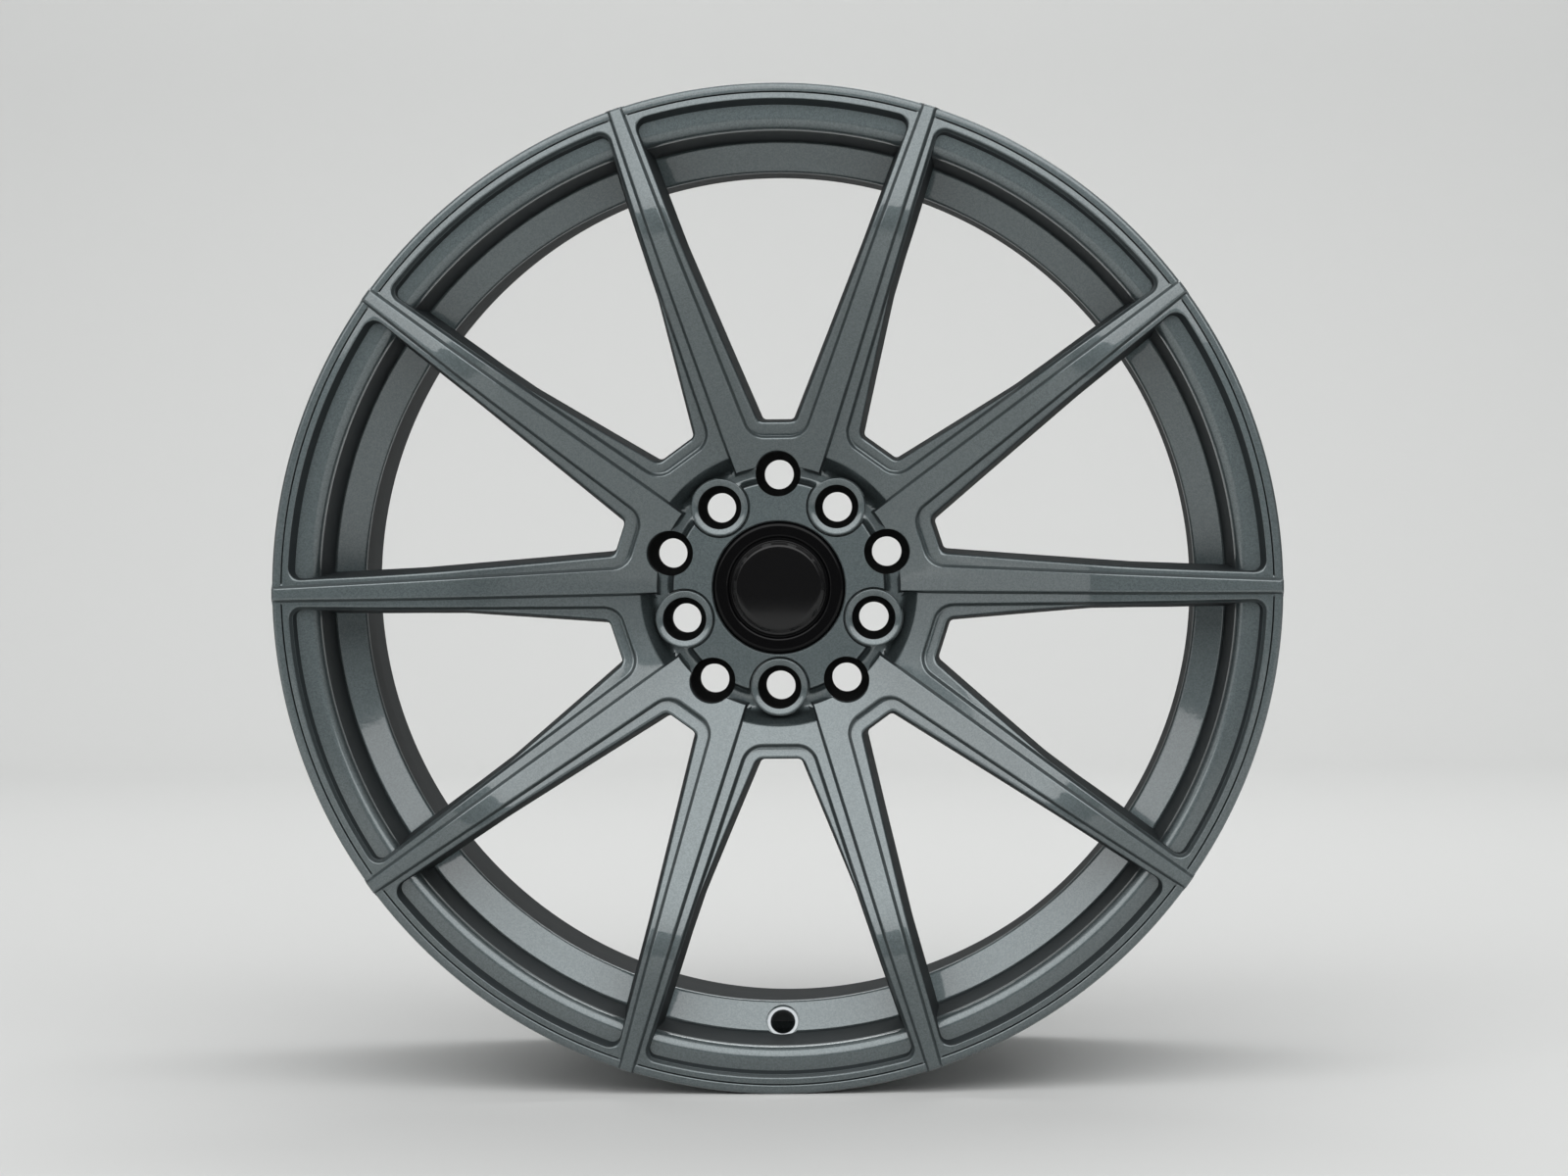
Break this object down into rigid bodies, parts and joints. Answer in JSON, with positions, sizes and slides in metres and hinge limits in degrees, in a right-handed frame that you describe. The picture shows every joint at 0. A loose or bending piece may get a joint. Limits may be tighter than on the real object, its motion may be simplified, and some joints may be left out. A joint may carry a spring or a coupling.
{
  "type": "alloy wheel",
  "caption": "Cast alloy car wheel with slim ribbed spokes paired into V shapes, a drop-centre rim, bolt holes on two circles, a valve hole and a snap-in centre cap.",
  "frame": {"origin": "centre of the hub's mounting face, where the wheel meets the car's hub", "axes": "+Y along the axle, from the wheel's face towards the car; the valve hole points towards -Z"},
  "size_m": [0.4966, 0.2485, 0.4966],
  "materials": {
    "graphite_paint_on_aluminium": "graphite metallic paint under a gloss clear coat, on cast aluminium",
    "gloss_black_plastic": "moulded gloss black",
    "gloss_black_badge": "polished gloss black, bare",
    "spring_steel": "bright wire"
  },
  "bodies": {
    "root": {"wheel": "graphite_paint_on_aluminium", "cap_body": "gloss_black_plastic", "cap_badge": "gloss_black_badge", "cap_ring": "spring_steel"}
  },
  "joints": []
}
